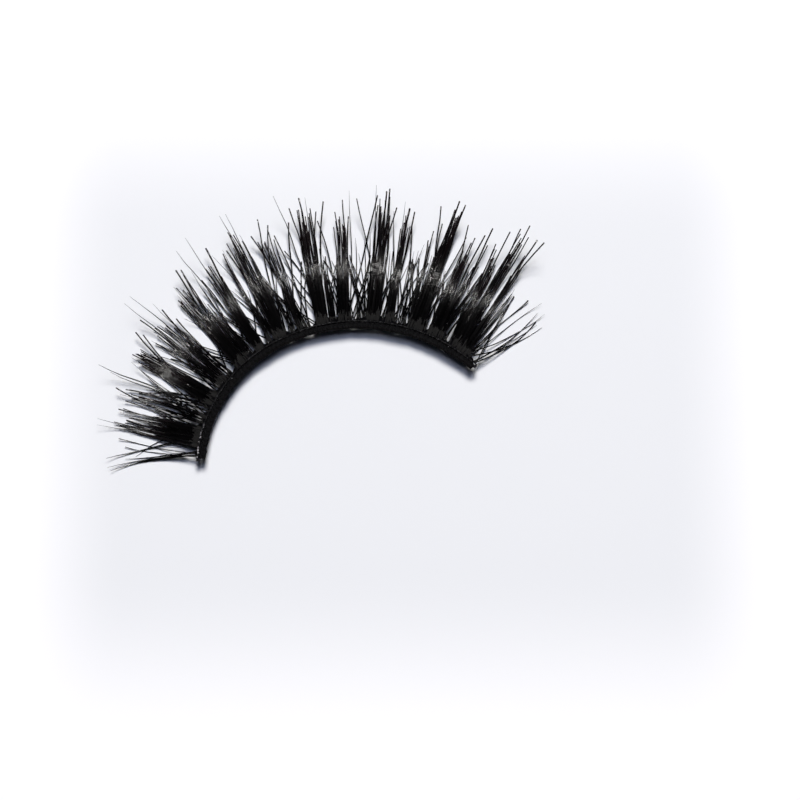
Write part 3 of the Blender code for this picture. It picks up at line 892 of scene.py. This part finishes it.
braid = {
    "centreOut": 0.23 * mm,
    "centreUp": 0.27 * mm,
    "swing": 0.195 * mm,       # how far a yarn swings to either side
    "weaveDepth": 0.115 * mm,
    "yarnWidth": 0.30 * mm,
    "yarnFlatness": 0.80,
    "stitch": 0.47 * mm,       # the pitch of the scallops along one edge
    "unevenness": 0.16,
    "waveLengths": (0.71, 1.13, 1.87, 3.10),   # of that unevenness, in millimetres
    "waveScale": 2.6,
    "drift": 0.35,             # how unevenly the stitches follow each other
    "pointsPerStitch": 6,
    "corners": 8,
    "coreWidth": 0.62 * mm,
    "coreFlatness": 0.90,
    "coreUp": 0.165 * mm,
    "coreWander": 0.02 * mm,
    "coreUneven": 0.06,
    "corePoints": 200,
    "coreCorners": 10,
    "coreStart": 0.1 * mm,
    "start": 0.05 * mm,
    "shortBy": 0.26 * mm,      # the outer end leaves room for the knot
}


def bandPath(along, out, up):
    drawn = drawnOut(along, out)
    return stripPoints(along, drawn, up)[None], layerUps(along, drawn)[None]


def uneven(along, seed):
    # slow waves of unlike length that make no two stitches the same
    waves = np.zeros_like(along)
    for k, length in enumerate(braid["waveLengths"]):
        waves += np.sin(2 * np.pi * along / (length * mm) + 1.7 * seed + 2.3 * k)
    return waves / braid["waveScale"]


def yarnSets():
    stitches = arch["length"] / braid["stitch"]
    count = round(stitches * braid["pointsPerStitch"])
    along = np.linspace(braid["start"], arch["length"] - braid["shortBy"], count)
    period = 3 * braid["stitch"]
    drift = braid["drift"] * uneven(along, 9)
    sets = []
    for k in range(3):
        angle = 2 * np.pi * (along / period + k / 3) + drift
        swing = braid["swing"] * (1 + braid["unevenness"] * uneven(along, k))
        out = braid["centreOut"] + swing * np.sin(angle)
        up = braid["centreUp"] + braid["weaveDepth"] * np.sin(2 * angle)
        paths, ups = bandPath(along, out, up)
        width = 0.5 * braid["yarnWidth"] * (1 + braid["unevenness"] * uneven(along, k + 4))
        sets.append({"paths": paths, "ups": ups, "radii": width[None],
                     "corners": braid["corners"], "flat": braid["yarnFlatness"]})
    along = np.linspace(braid["coreStart"], arch["length"] - braid["shortBy"], braid["corePoints"])
    out = braid["centreOut"] + braid["coreWander"] * uneven(along, 7)
    paths, ups = bandPath(along, out, np.full_like(along, braid["coreUp"]))
    width = 0.5 * braid["coreWidth"] * (1 + braid["coreUneven"] * uneven(along, 8))
    sets.append({"paths": paths, "ups": ups, "radii": width[None],
                 "corners": braid["coreCorners"], "flat": braid["coreFlatness"]})
    return sets


braidedBand = tubeMesh("braidedBand", yarnSets())
dress(braidedBand, bandCotton, "band_cotton", "band")
print("band made")


# the two plies of the thread that ties the lashes on

thread = {
    "out": 0.56 * mm,
    "up": 0.54 * mm,
    "lay": 0.47 * mm,          # one turn of the plies, which is one tied stitch
    "plyRadius": 0.042 * mm,
    "coilRadius": 0.040 * mm,
    "wander": 0.02 * mm,
    "wanderLength": 1.3 * mm,
    "pointsPerTurn": 9,
    "corners": 6,
    "tail": 0.32 * mm,
    "tailOut": 0.20 * mm,
    "tailDrop": 0.25 * mm,
}


def plySets():
    # two plies wound round each other, with a short loose tail past the band's inner end
    whole = arch["length"] + thread["tail"]
    count = round(whole / thread["lay"] * thread["pointsPerTurn"])
    along = np.linspace(-thread["tail"], arch["length"], count)
    away = np.clip(-along / thread["tail"], 0, 1) ** 2
    wander = thread["wander"] * np.sin(along / thread["wanderLength"])
    middle = thread["out"] + wander + thread["tailOut"] * away
    level = thread["up"] - thread["tailDrop"] * away
    sets = []
    for k in range(2):
        angle = 2 * np.pi * along / thread["lay"] + np.pi * k
        out = middle + thread["coilRadius"] * np.cos(angle)
        up = level + thread["coilRadius"] * np.sin(angle)
        paths, ups = bandPath(along, out, up)
        sets.append({"paths": paths, "ups": ups, "corners": thread["corners"],
                     "radii": np.full((1, count), thread["plyRadius"])})
    return sets


knotThread = tubeMesh("knotThread", plySets())
dress(knotThread, threadShine, "thread", "knot_thread")
print("thread made")


# a small knot of yarn at each end of the band, with a few frayed fibres

knots = {
    "innerPlace": (-0.10 * mm, 0.42 * mm),   # along and out
    "outerPlace": (32.72 * mm, 0.15 * mm),
    "halfSize": (0.18 * mm, 0.20 * mm, 0.20 * mm),
    "yarnRadius": 0.070 * mm,
    "points": 72,
    "corners": 8,
    "frays": 7,
    "frayRadius": 0.014 * mm,
    "frayLength": 0.34 * mm,
    "frayStarts": 0.25,        # how far apart the frays start, as a share of the knot
    "frayLift": 0.5,
    "frayBend": 0.06,          # in millimetres
    "frayTip": 0.5,
    "frayPoints": 6,
    "frayCorners": 5,
}


def makeKnot(name, node, along, out):
    centre = stripPoints(along, out, braid["centreUp"])
    heading = np.interp(along, archAlong, archHeading)
    forward = np.array([np.cos(heading), np.sin(heading), 0])
    upwards = layerUps(np.array([along]), np.array([braid["centreOut"]]))[0]
    sideways = np.cross(upwards, forward)
    reach = np.array(knots["halfSize"]) - knots["yarnRadius"]
    t = np.linspace(0, 2 * np.pi * (1 - 1 / knots["points"]), knots["points"])
    shape = np.stack([   # a trefoil, the loop of a simple overhand knot
        (np.cos(t) - 2 * np.cos(2 * t)) / 3,
        (np.sin(t) + 2 * np.sin(2 * t)) / 3,
        -np.sin(3 * t),
    ], axis=-1) * reach
    axes = np.stack([forward, sideways, upwards])
    body = {"paths": (centre + shape @ axes)[None], "corners": knots["corners"],
            "radii": np.full((1, knots["points"]), knots["yarnRadius"])}
    count = knots["frays"]
    starts = rng.normal(0, knots["frayStarts"], (count, 3)) * reach
    outwards = unit(rng.normal(0, 1, (count, 3)) * [1, 1, knots["frayLift"]])
    outwards = outwards * knots["frayLength"]
    share = np.linspace(0, 1, knots["frayPoints"])[None, :, None]
    bend = rng.normal(0, knots["frayBend"], (count, 1, 3)) * mm * share**2
    paths = centre + (starts[:, None] + outwards[:, None] * share + bend) @ axes
    thinning = 1 - (1 - knots["frayTip"]) * share[..., 0]
    frays = {"paths": paths, "corners": knots["frayCorners"],
             "radii": knots["frayRadius"] * thinning * np.ones((count, 1))}
    piece = tubeMesh(name, [body, frays])
    dress(piece, knotShine, "knot", node)


makeKnot("innerEndKnot", "inner_end_knot", *knots["innerPlace"])
makeKnot("outerEndKnot", "outer_end_knot", *knots["outerPlace"])
print("knots made")


# the pale surface, a little blue in the middle and painted whiter round the edge as painted light,
# and the light

studio = {
    "floorHalf": 1.5,
    "floorRough": 0.65,
    "paleHalf": (31.9 * mm, 25.0 * mm),      # half the sides of the bluish middle
    "paleCentre": (7.0 * mm, -6.6 * mm),
    "paleFade": (6.2 * mm, 9.5 * mm),
    "paleColour": (0.752, 0.766, 0.782),
    "paintedLightEdge": (0.930, 0.930, 0.935),
    "keyPlace": (0.050, 0.635, 1.045),
    "keySize": 0.29,
    "keyPower": 17.2,
    "keyColour": (1.030, 1.0, 0.970),
    "fillPlace": (-0.005, 0.340, 1.057),     # its bluish light tints the edge of the band's shadow
    "fillSize": 0.32,
    "fillPower": 2.4,
    "fillColour": (0.86, 0.95, 1.28),
    "sheenPlace": (0.01, 0.05, 0.60),
    "sheenSize": 0.06,
    "sheenPower": 5.0,
    "sheenColour": (1.0, 0.98, 0.96),
    "skyColour": (0.80, 0.92, 1.20),
    "skyLight": 0.006,
    "backdropColour": (0.90, 0.92, 0.96),
}


def makeFloor():
    bpy.ops.object.select_all(action="DESELECT")
    bpy.ops.mesh.primitive_plane_add(size=2 * studio["floorHalf"])
    floor = bpy.context.object
    floor.name = "floor"
    made, nodes, links, shader = newFinish(
        "paleSurface", Roughness=studio["floorRough"], Specular_IOR_Level=0.0)
    coords = nodes.new("ShaderNodeTexCoord")
    split = nodes.new("ShaderNodeSeparateXYZ")
    links.new(coords.outputs["Object"], split.inputs[0])
    masks = []
    sides = zip("XY", studio["paleCentre"], studio["paleHalf"], studio["paleFade"])
    for axis, middle, half, soft in sides:
        offset = calculate(nodes, links, "SUBTRACT", split.outputs[axis], middle)
        size = calculate(nodes, links, "ABSOLUTE", offset)
        mask = mapValue(nodes, links, size, 1.0, 0.0, half - soft, half + soft)
        mask.node.interpolation_type = "SMOOTHSTEP"
        masks.append(mask)
    both = calculate(nodes, links, "MULTIPLY", *masks)
    # painted light: the surface's colour grows whiter towards its edges
    colour = mixColours(nodes, links, both, studio["paintedLightEdge"], studio["paleColour"])
    links.new(colour, shader.inputs["Base Color"])
    floor.data.materials.append(made)


def areaLight(name):
    data = bpy.data.lights.new(name, "AREA")
    data.size = studio[name + "Size"]
    data.energy = studio[name + "Power"]
    data.color = studio[name + "Colour"]
    lamp = bpy.data.objects.new(name, data)
    bpy.context.scene.collection.objects.link(lamp)
    lamp.location = studio[name + "Place"]
    lamp.rotation_euler = lamp.location.to_track_quat("Z", "Y").to_euler()
    return lamp


def makeWorld():
    # the open room gives little light, and only the camera sees it pale
    world = bpy.data.worlds.new("room")
    world.use_nodes = True
    nodes, links = world.node_tree.nodes, world.node_tree.links
    sky = nodes["Background"]
    sky.inputs["Color"].default_value = (*studio["skyColour"], 1)
    sky.inputs["Strength"].default_value = studio["skyLight"]
    backdrop = nodes.new("ShaderNodeBackground")
    backdrop.inputs["Color"].default_value = (*studio["backdropColour"], 1)
    path = nodes.new("ShaderNodeLightPath")
    mix = nodes.new("ShaderNodeMixShader")
    links.new(path.outputs["Is Camera Ray"], mix.inputs[0])
    links.new(sky.outputs[0], mix.inputs[1])
    links.new(backdrop.outputs[0], mix.inputs[2])
    links.new(mix.outputs[0], nodes["World Output"].inputs["Surface"])
    bpy.context.scene.world = world


makeFloor()
# the key and the bluish fill cast the shadows, and the small light by the camera only adds
# the glints that ring the locks where they lie level
areaLight("key").visible_glossy = False
areaLight("fill").visible_glossy = False
areaLight("sheen").visible_diffuse = False
makeWorld()
bpy.context.scene.view_settings.view_transform = "Standard"
print("studio made")

bpy.context.view_layer.update()
